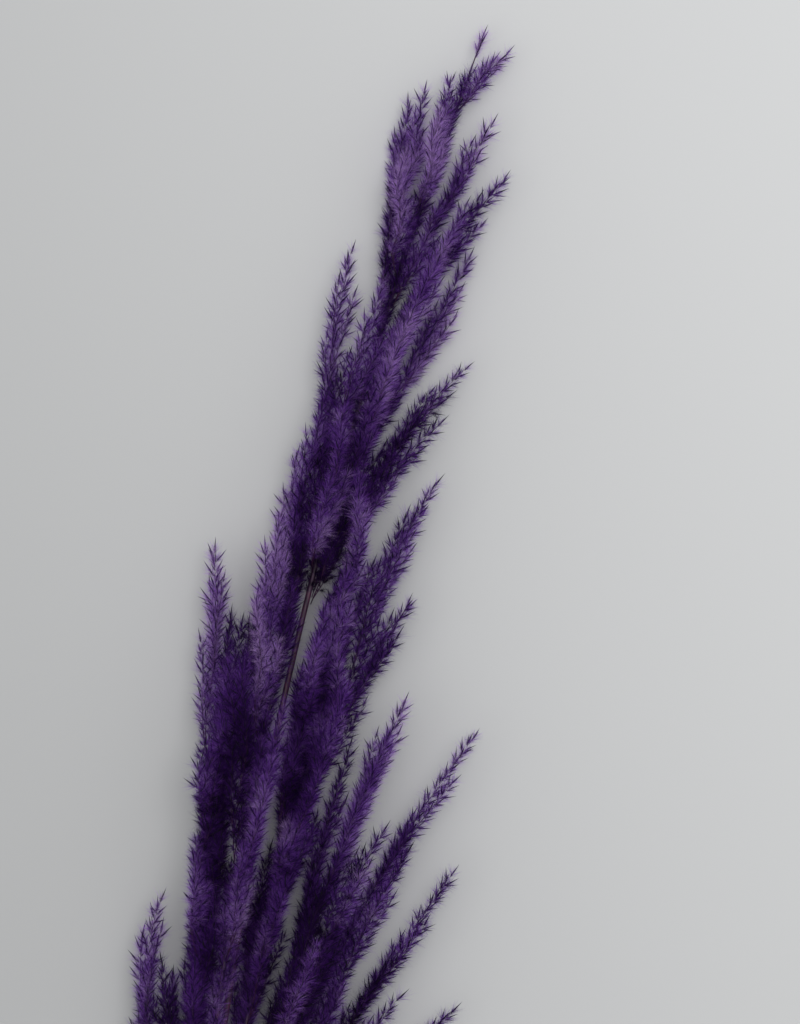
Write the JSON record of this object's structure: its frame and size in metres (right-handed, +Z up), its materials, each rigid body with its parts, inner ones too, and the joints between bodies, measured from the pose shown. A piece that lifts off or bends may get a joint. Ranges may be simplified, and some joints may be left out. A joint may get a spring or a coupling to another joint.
{
  "type": "bundle of pampas grass",
  "caption": "Tied bundle of dyed purple pampas grass: long bare stems and feathery, staggered plumes that nod to one side, lying on a surface.",
  "frame": {"origin": "middle of the lying bundle's footprint, on the surface it rests on", "axes": "+Y runs from the cut ends to the plume tips, +X is the side that the plumes nod to, +Z is up from the surface"},
  "size_m": [0.2306, 1.1462, 0.0813],
  "materials": {
    "stem": "dyed dry grass stem, satin, pink-red to purple",
    "plume": "dyed grass spikelets and silky hairs, deep purple with lilac edges",
    "twine": "twisted jute twine, matt"
  },
  "bodies": {
    "root": {"plume_1_branch_01": "plume", "plume_1_branch_02": "plume", "plume_1_branch_03": "plume", "plume_1_branch_04": "plume", "plume_1_branch_05": "plume", "plume_1_branch_06": "plume", "plume_1_branch_07": "plume", "plume_1_branch_08": "plume", "plume_1_branch_09": "plume", "plume_1_branch_10": "plume", "plume_1_branch_11": "plume", "plume_1_branch_12": "plume", "plume_1_branch_13": "plume", "plume_2_branch_01": "plume", "plume_2_branch_02": "plume", "plume_2_branch_03": "plume", "plume_2_branch_04": "plume", "plume_2_branch_05": "plume", "plume_2_branch_06": "plume", "plume_3_branch_01": "plume", "plume_3_branch_02": "plume", "plume_3_branch_03": "plume", "plume_3_branch_04": "plume", "plume_3_branch_05": "plume", "plume_3_branch_06": "plume", "plume_3_branch_07": "plume", "plume_3_branch_08": "plume", "plume_3_branch_09": "plume", "plume_3_branch_10": "plume", "plume_3_branch_11": "plume", "plume_4_branch_01": "plume", "plume_4_branch_02": "plume", "plume_4_branch_03": "plume", "plume_4_branch_04": "plume", "plume_4_branch_05": "plume", "plume_4_branch_06": "plume", "plume_4_branch_07": "plume", "plume_5_branch_01": "plume", "plume_5_branch_02": "plume", "plume_5_branch_03": "plume", "plume_5_branch_04": "plume", "plume_5_branch_05": "plume", "plume_5_branch_06": "plume", "plume_6_branch_01": "plume", "plume_6_branch_02": "plume", "plume_6_branch_03": "plume", "plume_6_branch_04": "plume", "plume_6_branch_05": "plume", "plume_7_branch_01": "plume", "plume_7_branch_02": "plume", "plume_7_branch_03": "plume", "plume_7_branch_04": "plume", "stem_1": "stem", "stem_2": "stem", "stem_3": "stem", "stem_4": "stem", "stem_5": "stem", "stem_6": "stem", "stem_7": "stem", "twine_tie": "twine"}
  },
  "joints": []
}
